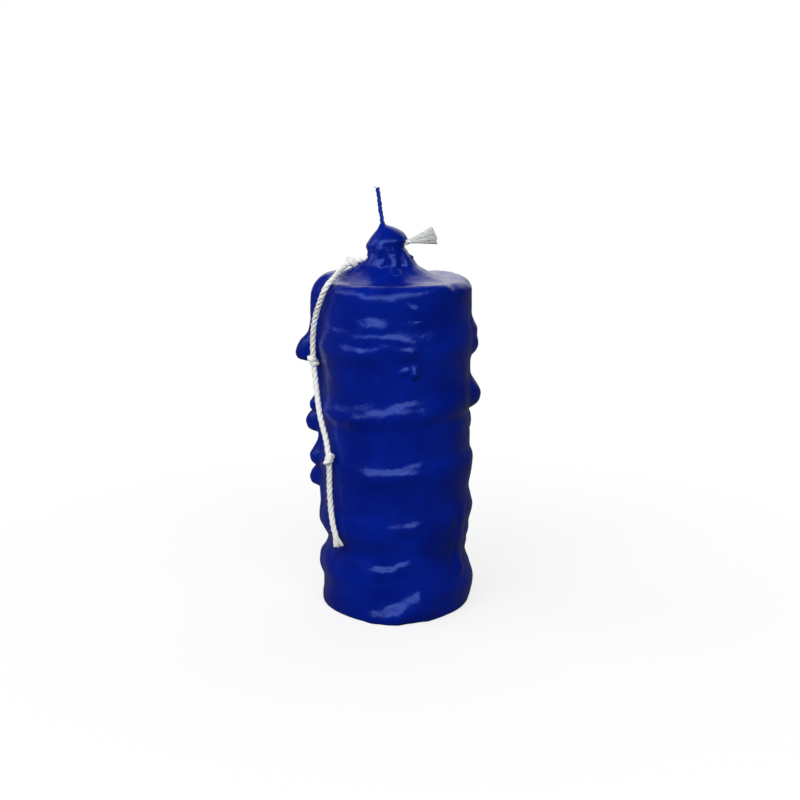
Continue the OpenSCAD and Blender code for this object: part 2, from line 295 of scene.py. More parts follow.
def strands_along(line, count, spread, lay, phase=0.0, slack=0.0, seed=0):
    """Lines of strands twisted round a line: spread is their distance from it, lay the length of a turn."""
    made = [[] for _ in range(count)]
    gone = 0.0
    for i, ((side, up), point) in enumerate(zip(side_frames(line), line)):
        if i:
            gone += (point - line[i - 1]).length
        for k in range(count):
            wander = slack * noise.noise(Vector((gone * WANDER_RATE, WANDER_UNLIKE * k, seed)))
            angle = phase + 2 * math.pi * (gone / lay + k / count) + wander
            reach = spread * (1 + WANDER_OFF * wander)
            made[k].append(point + reach * (math.cos(angle) * side + math.sin(angle) * up))
    return made


def uneven_sizes(lines, step, uneven, rate, unlike, seed, size=1.0):
    """A size for each point of each line, swelling and thinning along it. Points are a step apart."""
    def at(i, k):
        return size * (1 + uneven * noise.noise(Vector((rate * i * step, unlike * k, seed))))

    return [[at(i, k) for i in range(len(line))] for k, line in enumerate(lines)]


def tubes(lines, radius, sides, sizes=None):
    """Round tubes along lines, as one bmesh. Sizes give each line's share of the radius at each point."""
    data = bpy.data.curves.new("tubes", "CURVE")
    data.dimensions = "3D"
    data.bevel_depth = radius * MM
    data.bevel_resolution = max(0, sides // 2 - 2)
    data.use_fill_caps = True
    for n, line in enumerate(lines):
        spline = data.splines.new("POLY")
        spline.points.add(len(line) - 1)
        for i, (knot, point) in enumerate(zip(spline.points, line)):
            knot.co = (*(point * MM), 1)
            knot.radius = sizes[n][i] if sizes else 1
    carrier = bpy.data.objects.new("tubes", data)
    bpy.context.scene.collection.objects.link(carrier)
    mesh = bpy.data.meshes.new_from_object(carrier)
    bpy.data.objects.remove(carrier)
    bpy.data.curves.remove(data)
    bm = bmesh.new()
    bm.from_mesh(mesh)
    bpy.data.meshes.remove(mesh)
    bmesh.ops.remove_doubles(bm, verts=bm.verts, dist=TUBE_MERGE * MM)
    bmesh.ops.recalc_face_normals(bm, faces=bm.faces)
    return bm


def joined(*parts):
    """Several bmeshes as one."""
    whole = bmesh.new()
    for part in parts:
        mesh = bpy.data.meshes.new("part")
        part.to_mesh(mesh)
        part.free()
        whole.from_mesh(mesh)
        bpy.data.meshes.remove(mesh)
    return whole


# The wick's own frame: it leans to the left from the shoulder.
COAT_TOP = 150
WICK_LEAN = math.radians(13.5)


def wick_point(x, y, z):
    """A point given in the frame of the leaning wick."""
    return Vector((x * math.cos(WICK_LEAN) - z * math.sin(WICK_LEAN), y,
                   COAT_TOP + x * math.sin(WICK_LEAN) + z * math.cos(WICK_LEAN)))


# The cord: its route is the construction's own. Its ends leave the seal in the wick's frame.
CORD_D = 2.6
EXIT_OUT = 10.3
EXIT_BACK = -2.5
LEFT_EXIT_UP = 12
RIGHT_EXIT_UP = 15
NECK_RUN = 5
KNOT_SHARE = 0.72
LEFT_EXIT = wick_point(-EXIT_OUT, EXIT_BACK, LEFT_EXIT_UP)
RIGHT_EXIT = wick_point(EXIT_OUT, EXIT_BACK, RIGHT_EXIT_UP)
NECK_KNOT = wick_point(-EXIT_OUT - NECK_RUN - KNOT_SHARE * CORD_D, EXIT_BACK, LEFT_EXIT_UP)
RIM_BEND = Vector((-27.5, -15.5, 151.5))
UPPER_KNOT = Vector((-37, -6, 114))
LOWER_KNOT = Vector((-29.5, -23.5, 73))
CORD_END = Vector((-26.5, -25.5, 37))
SHOULDER_ROUTE = [NECK_KNOT, (-23.5, -6, 155.5), (-26, -11, 153), RIM_BEND]
UPPER_ROUTE = [RIM_BEND, (-29.5, -17.5, 149.5), (-31, -18, 147), (-33, -15.5, 142),
               (-35, -11.5, 136), (-36.5, -9, 129), (-37, -7, 121.5), UPPER_KNOT]
MIDDLE_ROUTE = [UPPER_KNOT, (-36, -8, 106), (-35, -11, 98), (-33.5, -15.5, 90), (-31, -19, 81),
                LOWER_KNOT]
LOWER_ROUTE = [LOWER_KNOT, (-29.5, -22.5, 66), (-29.5, -22, 58), (-29, -22.5, 50), (-28, -24, 43),
               CORD_END]

STRANDS = 3
STRAND_R = 0.72
STRAND_SPREAD = 0.58
STRAND_SIDES = 10
STRAND_SLACK = 0.18
CORD_LAY = 8.6
CORD_STEP = 0.45
# Loose fibres: their root as a share of the cord's diameter, and their size at root, middle and tip.
HAIR_R = 0.022
HAIR_SIDES = 4
HAIR_ROOT = 0.42
HAIR_SIZES = [1, 0.8, 0.4]


def cord_hairs(line, count, seed):
    """Loose fibres that stand off a cord."""
    draw = random.Random(seed)
    frames = side_frames(line)
    hairs = []
    for _ in range(count):
        i = draw.randrange(1, len(line) - 1)
        side, up = frames[i]
        ahead = (line[i + 1] - line[i - 1]).normalized()
        angle = draw.uniform(0, 2 * math.pi)
        out = math.cos(angle) * side + math.sin(angle) * up
        lean = draw.uniform(-1, 1) * ahead + draw.uniform(-0.6, 0.6) * out.cross(ahead)
        root = line[i] + out * CORD_D * HAIR_ROOT
        length = draw.uniform(0.4, 1.0)
        middle = root + length * (0.5 * out + 0.35 * lean)
        tip = root + length * (0.7 * out + lean)
        hairs.append([root, middle, tip])
    return tubes(hairs, HAIR_R, HAIR_SIDES, [HAIR_SIZES] * count)


def twisted_cord(line, phase=0.0, hairs_per_mm=2.5, seed=1, thin=1.0):
    """Three twisted strands of cotton along a line, with loose fibres."""
    lines = strands_along(line, STRANDS, STRAND_SPREAD * thin, CORD_LAY, phase, STRAND_SLACK, seed)
    sizes = uneven_sizes(lines, CORD_STEP, uneven=0.07, rate=0.9, unlike=3.1, seed=seed, size=thin)
    rope = tubes(lines, STRAND_R, STRAND_SIDES, sizes)
    count = round(hairs_per_mm * line_length(line))
    return joined(rope, cord_hairs(line, count, seed))


INTO_WAX = 2.5
neck_route = [LEFT_EXIT + (LEFT_EXIT - NECK_KNOT).normalized() * INTO_WAX, LEFT_EXIT] + SHOULDER_ROUTE
upper_line = smooth_line(neck_route + UPPER_ROUTE[1:], CORD_STEP)
middle_line = smooth_line(MIDDLE_ROUTE, CORD_STEP)
lower_line = smooth_line(LOWER_ROUTE, CORD_STEP)

upper_cord = piece_from(twisted_cord(upper_line, seed=1), "cord_over_rim", white_cotton, None,
                        "cotton_cord", "cord_neck_run", "cord_shoulder_run", "cord_upper_drop")
middle_cord = piece_from(twisted_cord(middle_line, seed=2), "cord_middle", white_cotton, "tail_middle",
                         "cotton_cord", "cord_middle_drop")
lower_cord = piece_from(twisted_cord(lower_line, seed=3), "cord_lower", white_cotton, "tail_lower",
                        "cotton_cord", "cord_lower_drop")
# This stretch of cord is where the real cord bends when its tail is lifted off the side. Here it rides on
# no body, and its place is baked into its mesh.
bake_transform(upper_cord)


# Knots: each is an overhand knot, drawn up tight.
KNOT_TURNS = 1.35
KNOT_STEPS = 60
KNOT_R = 1.6
KNOT_TALL = 2.3
KNOT_TILT = 0.85
# How far both ends of the wrap are tucked in, from which share of it and over what length.
KNOT_TUCK = 0.75
TUCK_FROM = 0.7
TUCK_OVER = 0.3
WRAP_HAIRS_PER_MM = 1.5
WRAP_THIN = 0.95
# The swollen cord inside the wrap.
HEART_HALF = (1.9, 1.9, 2.3)
HEART_UNEVEN = 0.1


def overhand(at, down, right, hand):
    """The wrap of a knot round a cord that runs along down: a tilted turn with its ends tucked in."""
    down = down.normalized()
    right = (right - down * right.dot(down)).normalized()
    out = right.cross(down)
    line = []
    for i in range(KNOT_STEPS + 1):
        t = 2 * i / KNOT_STEPS - 1
        angle = hand * math.pi * KNOT_TURNS * t - math.pi / 2
        reach = KNOT_R * (1 - KNOT_TUCK * ease((abs(t) - TUCK_FROM) / TUCK_OVER))
        lift = KNOT_TALL * 0.5 * t + hand * KNOT_TILT * math.cos(angle)
        line.append(at + reach * (math.cos(angle) * right - math.sin(angle) * out) + lift * down)
    return line


def knot_heart(at, down, seed):
    """The swollen cord inside a knot."""
    heart = bmesh.new()
    bmesh.ops.create_icosphere(heart, subdivisions=3, radius=1)
    turn = down.to_track_quat("Z", "Y").to_matrix().to_4x4()
    stretch = Matrix.Diagonal((*HEART_HALF, 1))
    bmesh.ops.transform(heart, verts=heart.verts, matrix=turn @ stretch)
    for vert in heart.verts:
        swell = HEART_UNEVEN * noise.noise(vert.co + Vector((seed, 0, 0)))
        vert.co = (at + vert.co * (1 + swell)) * MM
    return heart


def knot_piece(name, node, body, at, down, right, hand, seed):
    """A knot: the wrap, and the swollen cord inside it."""
    wrap_line = overhand(at, down, right, hand)
    wrap = twisted_cord(wrap_line, phase=seed, hairs_per_mm=WRAP_HAIRS_PER_MM, seed=seed, thin=WRAP_THIN)
    whole = joined(wrap, knot_heart(at, down, seed))
    return piece_from(whole, name, white_cotton, body, "cotton_cord", node)


neck_knot = knot_piece("neck_knot", "knot_neck", "candle", NECK_KNOT,
                       down=NECK_KNOT - LEFT_EXIT, right=UP, hand=1, seed=11)
upper_knot = knot_piece("upper_knot", "knot_upper", "tail_upper", UPPER_KNOT,
                        down=arrival(upper_line), right=RIGHT, hand=1, seed=12)
lower_knot = knot_piece("lower_knot", "knot_lower", "tail_middle", LOWER_KNOT,
                        down=arrival(middle_line), right=RIGHT, hand=-1, seed=13)


# Frayed ends: many fibres that open out of the cord.
FIBRE_R = 0.14
FIBRE_SIDES = 4
FIBRE_STEPS = 9
FIBRE_THINNED = 0.45
FIBRE_SWAY_TURN = 5


def fan_of_fibres(root, along, wide, count, seed, start_r, reach, opening):
    """Fibres from a round root to a fan. Reach gives each one's length and where it ends sideways."""
    draw = random.Random(seed)
    along, wide = along.normalized(), wide.normalized()
    lines = []
    for _ in range(count):
        u = draw.uniform(-1, 1)
        w = math.sqrt(1 - u * u) * draw.uniform(-1, 1)
        length, side_end, back_end = reach(u, w, draw)
        wave = draw.uniform(0.05, 0.3)
        turn = draw.uniform(0, 2 * math.pi)
        line = []
        for i in range(FIBRE_STEPS + 1):
            t = i / FIBRE_STEPS
            open_out = t ** opening
            sway = wave * t * math.sin(turn + FIBRE_SWAY_TURN * t)
            side = start_r * u + (side_end - start_r * u) * open_out + sway
            back = start_r * w + (back_end - start_r * w) * open_out + 0.6 * sway
            line.append(root + along * length * t + wide * side + BACK * back)
        lines.append(line)
    sizes = [1 - FIBRE_THINNED * i / FIBRE_STEPS for i in range(FIBRE_STEPS + 1)]
    return tubes(lines, FIBRE_R, FIBRE_SIDES, [sizes] * count)


# The hanging end: a short brush in two tufts, of which the right one is smaller and shorter.
TIP_LEN = 4.7
TIP_FIBRES = 150
TIP_WIDE = 1.9
TIP_DEEP = 1.6
TIP_SUNK = 1.0
# Where the brush parts, how far each tuft leans from there, and how much shorter the right one is.
TIP_SPLIT = 0.25
RIGHT_TUFT = 0.55
LEFT_TUFT = -0.2
RIGHT_SHORT = 0.9


def tip_reach(u, w, draw):
    length = TIP_LEN * draw.uniform(0.88, 1.0)
    if u > TIP_SPLIT:
        return RIGHT_SHORT * length, TIP_WIDE * u + RIGHT_TUFT, TIP_DEEP * w
    return length, TIP_WIDE * u + LEFT_TUFT, TIP_DEEP * w


tip_down = arrival(lower_line)
tip_mesh = fan_of_fibres(CORD_END - tip_down.normalized() * TIP_SUNK, tip_down, RIGHT, TIP_FIBRES, seed=21,
                         start_r=1.15, reach=tip_reach, opening=1.3)
frayed_tip = piece_from(tip_mesh, "frayed_tip_brush", white_cotton, "tail_lower",
                        "cotton_cord", "frayed_tip")

# The tassel: the cord's other end, combed out to a fan. Its stem starts in the wax.
STEM_LEN = 2.8
STEM_SUNK = 2.0
STEM_R = 0.9
STEM_FIBRES = 90
TASSEL_LEN = 12.2
TASSEL_SUNK = 0.8
TASSEL_FIBRES = 600
TASSEL_WIDE = 3.6
TASSEL_DEEP = 1.5
TASSEL_SLANT = 0.06
# The lowest fibres: where they start, their length as a share, and how far they and the rest stand apart.
LOW_FROM = -0.55
LOW_SHORT = 0.98
LOW_LEAN = -0.3
HIGH_LEAN = 0.2
FAN_ROOT_R = 0.8
stem_along = wick_point(1, 0, 0) - wick_point(0, 0, 0)
stem_across = wick_point(0, 0, 1) - wick_point(0, 0, 0)


def stem_reach(u, w, draw):
    return STEM_LEN + STEM_SUNK, STEM_R * u, STEM_R * w


def tassel_reach(u, w, draw):
    """The fan is cut at a slant, and its lowest fibres stand a little apart."""
    length = TASSEL_LEN * draw.uniform(0.95, 1.0)
    if u < LOW_FROM:
        return length * LOW_SHORT, TASSEL_WIDE * u + LOW_LEAN, TASSEL_DEEP * w
    return length * (1.0 - TASSEL_SLANT * u), TASSEL_WIDE * u + HIGH_LEAN, TASSEL_DEEP * w


stem_mesh = fan_of_fibres(RIGHT_EXIT - stem_along * STEM_SUNK, stem_along, stem_across, STEM_FIBRES,
                          seed=23, start_r=FAN_ROOT_R, reach=stem_reach, opening=1)
piece_from(stem_mesh, "tassel_neck", white_cotton, "candle", "cotton_cord", "tassel_stem")
tassel_mesh = fan_of_fibres(RIGHT_EXIT - stem_along * TASSEL_SUNK, stem_along, stem_across, TASSEL_FIBRES,
                            seed=22, start_r=FAN_ROOT_R, reach=tassel_reach, opening=1.2)
# The fan is given the greyer cotton: painted shade.
piece_from(tassel_mesh, "tassel_fan", shaded_cotton, "candle", "cotton_cord", "tassel")

# The tie: one turn of the cord round the wick, inside the wax.
TURN_R = 2.5
TURN_PITCH = RIGHT_EXIT_UP - LEFT_EXIT_UP
TURN_STEPS = 16


def turn_point(i):
    """A step of the turn, which starts in front."""
    angle = 2 * math.pi * i / TURN_STEPS - math.pi / 2
    return wick_point(TURN_R * math.cos(angle), TURN_R * math.sin(angle),
                      LEFT_EXIT_UP + TURN_PITCH * i / TURN_STEPS)


turn_points = [turn_point(i) for i in range(TURN_STEPS + 1)]
tie_line = smooth_line([LEFT_EXIT] + turn_points + [RIGHT_EXIT], CORD_STEP)
piece_from(twisted_cord(tie_line, hairs_per_mm=0.5, seed=5), "cord_tie", white_cotton, "candle",
           "cotton_cord", "cord_binding")


# The dipped coat. An azimuth counts from the front: 90 is the left, 180 the back, 270 the right.
CORE_R = 30
CORE_H = 145
CORE_CHAMFER = 2
FILM_GAP = 0.2
COAT_R = 34
SHOULDER_R = 5
FOOT_R = 1.5
HOLE_R = 1.85

# Ridges: height, how proud, half height, tilt, azimuth where the tilt is highest.
RIDGES = [(128.5, 0.7, 4.5, 1, 250), (121.5, 1.8, 9, 1, 250), (95, 1.3, 9.5, 4, 270),
          (89, -0.7, 4, 2, 270), (66.5, 1.2, 10.5, 1, 90), (43, 1.3, 8.5, 3.5, 270),
          (29, -2.1, 9, 2, 90), (15.5, 1.2, 7, 3.5, 90), (4.5, 0.5, 5, 1.5, 270)]
# Drips: azimuth, length of the round end, then stations from the top down: half width, how proud, height.
DRIPS = [(99, 2.6, [(13, 4.8, 147), (11, 5.3, 137), (8.5, 5.3, 127), (9, 8.2, 122.5), (9.5, 10.7, 118.6),
                    (9.5, 11.6, 116.4), (9.5, 11.4, 114.8)]),
         (93, 4.0, [(6, 2.0, 118), (6, 2.6, 108), (5.5, 2.4, 100), (5.4, 3.8, 96.2), (5.6, 4.6, 94.2),
                    (5.6, 4.4, 92.6)]),
         (103, 4.0, [(4.5, 0, 109), (4.8, 2.2, 98), (5.4, 4.0, 90.5), (6.6, 8.2, 86.8), (7, 9.4, 84.4),
                     (7, 9.0, 82.2)]),
         (95, 4.0, [(4.5, 0, 92), (5, 2.2, 84), (5, 2.6, 76.5), (5.6, 3.9, 72.2), (6, 4.7, 69.6),
                    (6, 4.5, 67.4)]),
         (105, 3.2, [(5, 0, 82), (5.5, 2.6, 74), (5.8, 3.4, 64.5), (6.6, 7.0, 60), (7, 8.3, 57.4),
                     (7, 7.9, 55.4)]),
         (98, 8.0, [(8, 0, 66), (9, 2.2, 56), (10, 1.7, 49), (10, 0.6, 40)]),
         (97, 7.0, [(9, 0, 31), (10, 0.8, 24), (11, 1.1, 19)]),
         (267, 3.4, [(9, 0, 137), (9, 1.0, 131), (9, 1.4, 127.4)]),
         (269, 4.6, [(8, 0.4, 128), (9, 1.2, 124), (9, 1.7, 121)]),
         (269, 5.4, [(8, 0, 110), (8.5, 0.5, 106.5), (9.5, 2.5, 102.2), (10, 3.5, 99.2), (10, 3.4, 97.2)]),
         (252, 3.6, [(4.5, 0, 132), (4.5, 1.2, 120), (4.5, 1.4, 104), (4.8, 1.5, 92), (5.4, 2.4, 86.5),
                     (5.6, 2.7, 84), (5.6, 2.5, 82.4)]),
         (272, 10.0, [(20, 0, 21), (20, 1.2, 11)]),
         (10, 6.0, [(22, 0, 14), (22, 1.4, 4)])]
# Thinner drips, most of them down the back: azimuth, top, bottom, half width, how proud.
THIN_DRIPS = [(150, 147, 99, 5.0, 3.2), (207, 128, 70, 5.4, 3.4), (237, 147, 118, 5.0, 2.8),
              (176, 88, 39, 5.2, 2.8), (125, 118, 67, 5.0, 2.6), (190, 147, 112, 4.6, 2.4),
              (165, 128, 83, 4.4, 2.0), (222, 74, 33, 4.6, 2.2), (300, 52, 21, 5.0, 1.2),
              (241, 92, 47, 4.6, 1.6)]
DRIP_STEP = 0.6
# How much lower a drip hangs for each millimetre that it stands out.
DRIP_SAG = 0.1
# No drip is wider than this to each side.
DRIP_REACH = 22
# How sharply a drip falls off to its sides, how narrow its round end gets, and how sharply two drips meet.
DRIP_POWER = 1.25
END_NARROW = 0.35
DRIP_MEET = 4
# Folds in front: how proud, height of the upper flank, run-out below, the flank's middle from the left on.
FOLDS = [(1.3, 5.0, 9, [(-21, 133.6), (-10, 135.6), (1.5, 134.2)]),
         (0.5, 2.4, 5, [(2, 134.6), (8, 135.6), (15, 134.8)]),
         (0.75, 2.6, 8, [(-21.5, 129.0), (-8, 129.4), (1, 129.2), (5, 128.0), (12, 125.2)]),
         (0.9, 3.2, 7, [(-26, 123.8), (-13, 123.2), (-4, 125.4), (3, 124.4), (12, 123.8)]),
         (2.9, 6.6, 2.5, [(5.4, 116.2), (8.2, 115.6), (11.0, 116.2)]),
         (1.5, 3.2, 2, [(0.2, 114.0), (4, 115.6), (7.4, 117.2)]),
         (0.7, 2.4, 4, [(2, 145.2), (8, 142.2), (14, 139.0)]),
         (1.3, 4.4, 9, [(-24, 91.0), (-17, 93.8), (-8, 95.8), (0, 97.0), (8, 96.7), (19, 96.0)]),
         (0.75, 2.4, 9, [(-4.5, 98.6), (4, 100.0), (14, 101.4)]),
         (1.25, 3.8, 9, [(-19, 69.0), (-10, 69.4), (0, 70.0), (10, 69.8), (20, 68.8)]),
         (0.75, 2.2, 8, [(0, 71.6), (8, 73.0), (15.5, 73.7)]),
         (0.6, 2.4, 6, [(-7, 44.8), (2, 45.4), (14, 46.8)]),
         (0.9, 3.0, 5, [(-15.5, 24.2), (-8, 25.2), (-2, 25.6), (2, 27.6), (7, 28.8), (11, 28.6)]),
         (2.5, 6.8, 12, [(-19, -0.5), (-8, 4.3), (0, 8.2), (6, 11.4), (10, 12.6), (15, 9.6), (24, 3.5)])]
# No fold goes further round than this.
FOLD_HALF_ANGLE = 60
# A fold fades at its ends over a length that grows with how proud it is, up to a share of the fold.
FOLD_FADE = 4
FOLD_FADE_SHARE = 0.45
# Lips, the upper edges of the dips: height, tilt, azimuth of its high side, how proud, rise, run-out.
LIPS = [(128.6, 1.5, 60, 0.55, 2.6, 5), (124.0, 0.6, 200, 0.6, 2.8, 6), (95.0, 3.0, 300, 1.1, 4.0, 9),
        (69.6, 1.2, 290, 0.9, 3.4, 9), (45.6, 1.6, 300, 0.35, 2.6, 8), (26.6, 2.6, 300, 0.45, 2.8, 5),
        (8.6, 4.0, 320, 0.5, 3.6, 8)]
# How much the lips sink away in front, where the folds are, and how far round.
LIP_SUNK = 0.92
LIP_SUNK_HALF = 60
# The least share of the ridges, which is in front and at the back.
RIDGE_LEAST = 0.4
# How far the skin lies inside the coat's radius between the ridges.
SKIN_INSIDE = 0.4


def lumps(a, z, size, seed):
    """A smooth random rise over the skin, from -1 to 1, in lumps of about a size."""
    return noise.noise(Vector((COAT_R * sine(a) / size + seed, COAT_R * cosine(a) / size, z / size)))


def along_skin(a, at):
    """Distance along the skin from one azimuth to another."""
    return math.radians(apart(a, at)) * COAT_R


def thin_drip(at, top, bottom, half, proud):
    """A drip that runs down thin and gathers at its end, given like the other drips."""
    thin = 0.8 * half
    tall = top - bottom
    stations = [(thin, 0, top), (thin, 0.4 * proud, top - 0.25 * tall), (thin, 0.42 * proud, bottom + 9),
                (0.95 * half, 0.8 * proud, bottom + 3.5), (half, proud, bottom)]
    return at, thin, stations


def drip_levels(at, end, stations):
    """A drip with its stations smoothly filled in at close steps."""
    return at, end, smooth_line(stations, DRIP_STEP)


ALL_DRIPS = [drip_levels(*drip) for drip in DRIPS + [thin_drip(*values) for values in THIN_DRIPS]]


def between(levels, z):
    """Half width and rise of a drip at a height, from its levels, which go downwards."""
    low, high = 0, len(levels) - 1
    while high - low > 1:
        middle = (low + high) // 2
        if levels[middle].z > z:
            low = middle
        else:
            high = middle
    upper, lower = levels[low], levels[high]
    t = min(1.0, max(0.0, (upper.z - z) / (upper.z - lower.z)))
    return upper.lerp(lower, t)


def one_drip(drip, a, z):
    """How far a drip stands out at a place."""
    at, end, levels = drip
    off = along_skin(a, at)
    if off > DRIP_REACH or z < levels[-1].z - end:
        return 0.0
    half, proud, _ = between(levels, z)
    if z < levels[-1].z:
        share = math.sqrt(1 - ((levels[-1].z - z) / end) ** 2)
        half *= END_NARROW + (1 - END_NARROW) * share
        proud *= share
    return max(0.0, proud) * max(0.0, 1 - (off / half) ** 2) ** DRIP_POWER


def drip_rise(a, z):
    """How far the drips stand out at a place on the coat, smoothly joined."""
    return sum(one_drip(drip, a, z) ** DRIP_MEET for drip in ALL_DRIPS) ** (1 / DRIP_MEET)


def fold_rise(a, z):
    """Folds that the wax made in front while it ran and set."""
    if apart(a, 0) > FOLD_HALF_ANGLE:
        return 0.0
    x = -COAT_R * sine(a)
    rise = 0.0
    for n, (proud, tall, below, path) in enumerate(FOLDS):
        start, start_z = path[0]
        stop = path[-1][0]
        fade = min(FOLD_FADE * (1 + proud), FOLD_FADE_SHARE * (stop - start))
        ends = ease((x - start) / fade) * ease((stop - x) / fade)
        strength = proud * ends * (0.95 + 0.6 * lumps(a, start_z, size=6, seed=71 + n))
        for (x0, z0), (x1, z1) in zip(path, path[1:]):
            if x0 <= x < x1:
                level = z0 + (z1 - z0) * ease((x - x0) / (x1 - x0))
                level += 0.5 * lumps(a, start_z, size=4, seed=61 + n)
                d = level + tall / 2 - z
                rise += strength * (ease(d / tall) - ease((d - tall) / below))
    return rise


def lip_rise(a, z):
    """Upper edges of the dips, round the sides and the back."""
    shown = 1 - LIP_SUNK * bump(apart(a, 0) / LIP_SUNK_HALF)
    rise = 0.0
    for n, (at, tilt, high, proud, above, below) in enumerate(LIPS):
        edge = at + tilt * cosine(a - high) + 1.6 * lumps(a, at, size=12, seed=31 + n)
        edge += 0.5 * lumps(a, at, size=4, seed=41 + n)
        d = z - edge
        strength = proud * max(0.0, 0.5 + 1.3 * lumps(a, at, size=17, seed=51 + n)) * shown
        rise += strength * (1 - ease(d / above) if d > 0 else 1 - ease(-d / below))
    return rise


def ridge_rise(a, z):
    """The ridges stand out most at the sides and sink away here and there."""
    share = RIDGE_LEAST + (1 - RIDGE_LEAST) * sine(a) ** 2
    share += 0.4 * lumps(a, z, size=24, seed=91) * cosine(a) ** 2
    return share * sum(proud * bump((z - at - tilt * cosine(a - high)) / half)
                       for at, proud, half, tilt, high in RIDGES)


def skin_point(a, z):
    """Radius and height of the coat's outside: a drip hangs lower the further it stands out."""
    drip = drip_rise(a, z)
    uneven = 0.35 * lumps(a, z, size=16, seed=3) + 0.16 * lumps(a, z, size=6, seed=9) - SKIN_INSIDE
    r = COAT_R + ridge_rise(a, z) + drip + fold_rise(a, z) + lip_rise(a, z) + uneven
    return r, max(FOOT_R, z - DRIP_SAG * drip)


SIDE_ROWS = 190
SHOULDER_ROWS = 9
TOP_ROWS = 24
FOOT_ROWS = 4
COAT_COLUMNS = 360
TOP_Z = COAT_TOP - 0.2
TOP_FLAT_R = 13
# The hump on the left of the shoulder, and how much rounder the shoulder is there.
HUMP_AT = 106
HUMP_HALF = 40
HUMP_RISE = 3.4
HUMP_ROUND = 7.0
# Two low swells of the rim: azimuth, half width, rise.
RIM_SWELLS = [(238, 60, 1.4), (340, 90, 0.7)]
# How much rounder the shoulder is in front, a little to the left, and how much sharper further right.
FRONT_ROUND = 1.6


def hump(a):
    """1 at the high hump on the left of the shoulder, falling to 0 on both sides of it."""
    return bump(apart(a, HUMP_AT) / HUMP_HALF)


def rim_height(a):
    """The rim stands higher at the hump, behind on the right, and a little in front."""
    high = HUMP_RISE * hump(a)
    for at, half, rise in RIM_SWELLS:
        high += rise * bump(apart(a, at) / half)
    return TOP_Z + high + 0.3 * lumps(a, COAT_TOP, size=10, seed=71)


def rounding(a):
    """Radius of the rounded shoulder."""
    front = bump(apart(a, 8) / 30) - bump(apart(a, 325) / 25)
    return SHOULDER_R + HUMP_ROUND * hump(a) + FRONT_ROUND * front


def top_height(a, r):
    """Height of the coat's top, inside the rounded rim."""
    return TOP_Z + (rim_height(a) - TOP_Z) * ease((r - TOP_FLAT_R) / (COAT_R - rounding(a) - TOP_FLAT_R))


def shoulder_fall(a, r):
    """How far the rounded shoulder lies below the rim at a radius."""
    top, round_r = rim_height(a), rounding(a)
    side_r, side_z = skin_point(a, top - round_r)
    past = min(1.0, max(0.0, (r - side_r + round_r) / round_r))
    return (top - side_z) * (1 - math.sqrt(1 - past * past))


def coat_outline(a):
    """The coat at one azimuth: out along the foot, up the side, over the shoulder, back down inside."""
    foot_r = skin_point(a, FOOT_R)[0]
    inner = CORE_R + FILM_GAP
    inner_top = CORE_H + FILM_GAP
    points = [(inner, 0), ((inner + foot_r - FOOT_R) / 2, 0)]
    for i in range(FOOT_ROWS):
        t = 90 * i / FOOT_ROWS
        points.append((foot_r - FOOT_R * (1 - sine(t)), FOOT_R * (1 - cosine(t))))
    top, round_r = rim_height(a), rounding(a)
    side_rows = [FOOT_R + (top - round_r - FOOT_R) * i / SIDE_ROWS for i in range(SIDE_ROWS + 1)]
    points += [skin_point(a, z) for z in side_rows]
    rim_r, rim_z = points[-1]
    for i in range(1, SHOULDER_ROWS + 1):
        t = 90 * i / SHOULDER_ROWS
        dent = 0.5 * lumps(a, COAT_TOP + 3 * sine(t), size=5, seed=81) * sine(2 * t)
        points.append((rim_r - round_r * (1 - cosine(t)) + dent, rim_z + (top - rim_z) * sine(t) + dent))
    flat_r = points[-1][0]
    for i in range(1, TOP_ROWS + 1):
        r = HOLE_R + (flat_r - HOLE_R) * (1 - i / TOP_ROWS)
        points.append((r, top_height(a, r)))
    points += [(HOLE_R, inner_top), (inner - CORE_CHAMFER, inner_top), (inner, inner_top - CORE_CHAMFER),
               (inner, CORE_H / 2)]
    return [(-r * sine(a), -r * cosine(a), z) for r, z in points]


coat_mesh = closed_grid([coat_outline(360 * i / COAT_COLUMNS) for i in range(COAT_COLUMNS)])
piece_from(coat_mesh, "dipped_coat", blue_wax, "candle", "blue_wax", "overdip_coat")


# The seal: wax poured over the tie, from the skirt on the shoulder up to the tip round the wick.
SEAL_COLUMNS = 200
SEAL_STEP = 0.45
# Rings of the seal from the top down: middle from left to right, radius, height.
SEAL_RINGS = [(-5.9, 1.2, 174.5), (-5.7, 1.6, 173.9), (-4.3, 3.5, 172.9), (-3.3, 5.3, 171.6),
              (-3.1, 6.7, 170.2), (-3.4, 8.5, 167.4), (-4.3, 8.7, 164.8), (-3.6, 9.0, 162),
              (-3.0, 10.5, 159.4), (-3.0, 12.7, 156.2), (-3.0, 15.4, 154.5), (-3.0, 18.4, 152.9),
              (-2.6, 21.5, 151.6), (-2.0, 23.8, 150.7), (-1.4, 25.6, 150.0), (-0.8, 27.0, 149.3),
              (-0.2, 28.2, 148.6), (0, 29.4, 147.8)]
SEAL_LEVELS = smooth_line(SEAL_RINGS, SEAL_STEP)
# How softly the seal runs out onto the shoulder, and how deep its thin edge lies under the coat's skin.
RUN_OUT = 0.5
EDGE_SUNK = 0.3
# Further out than this, the seal goes down with the rounded shoulder.
SHOULDER_FROM = 20
# The underside of the seal: its depth in the coat's top and its radius, and the bore for the wick.
BED_DEEP = 1.2
BED_R = 13
BORE_R = 0.9
BORE_TOP = 24
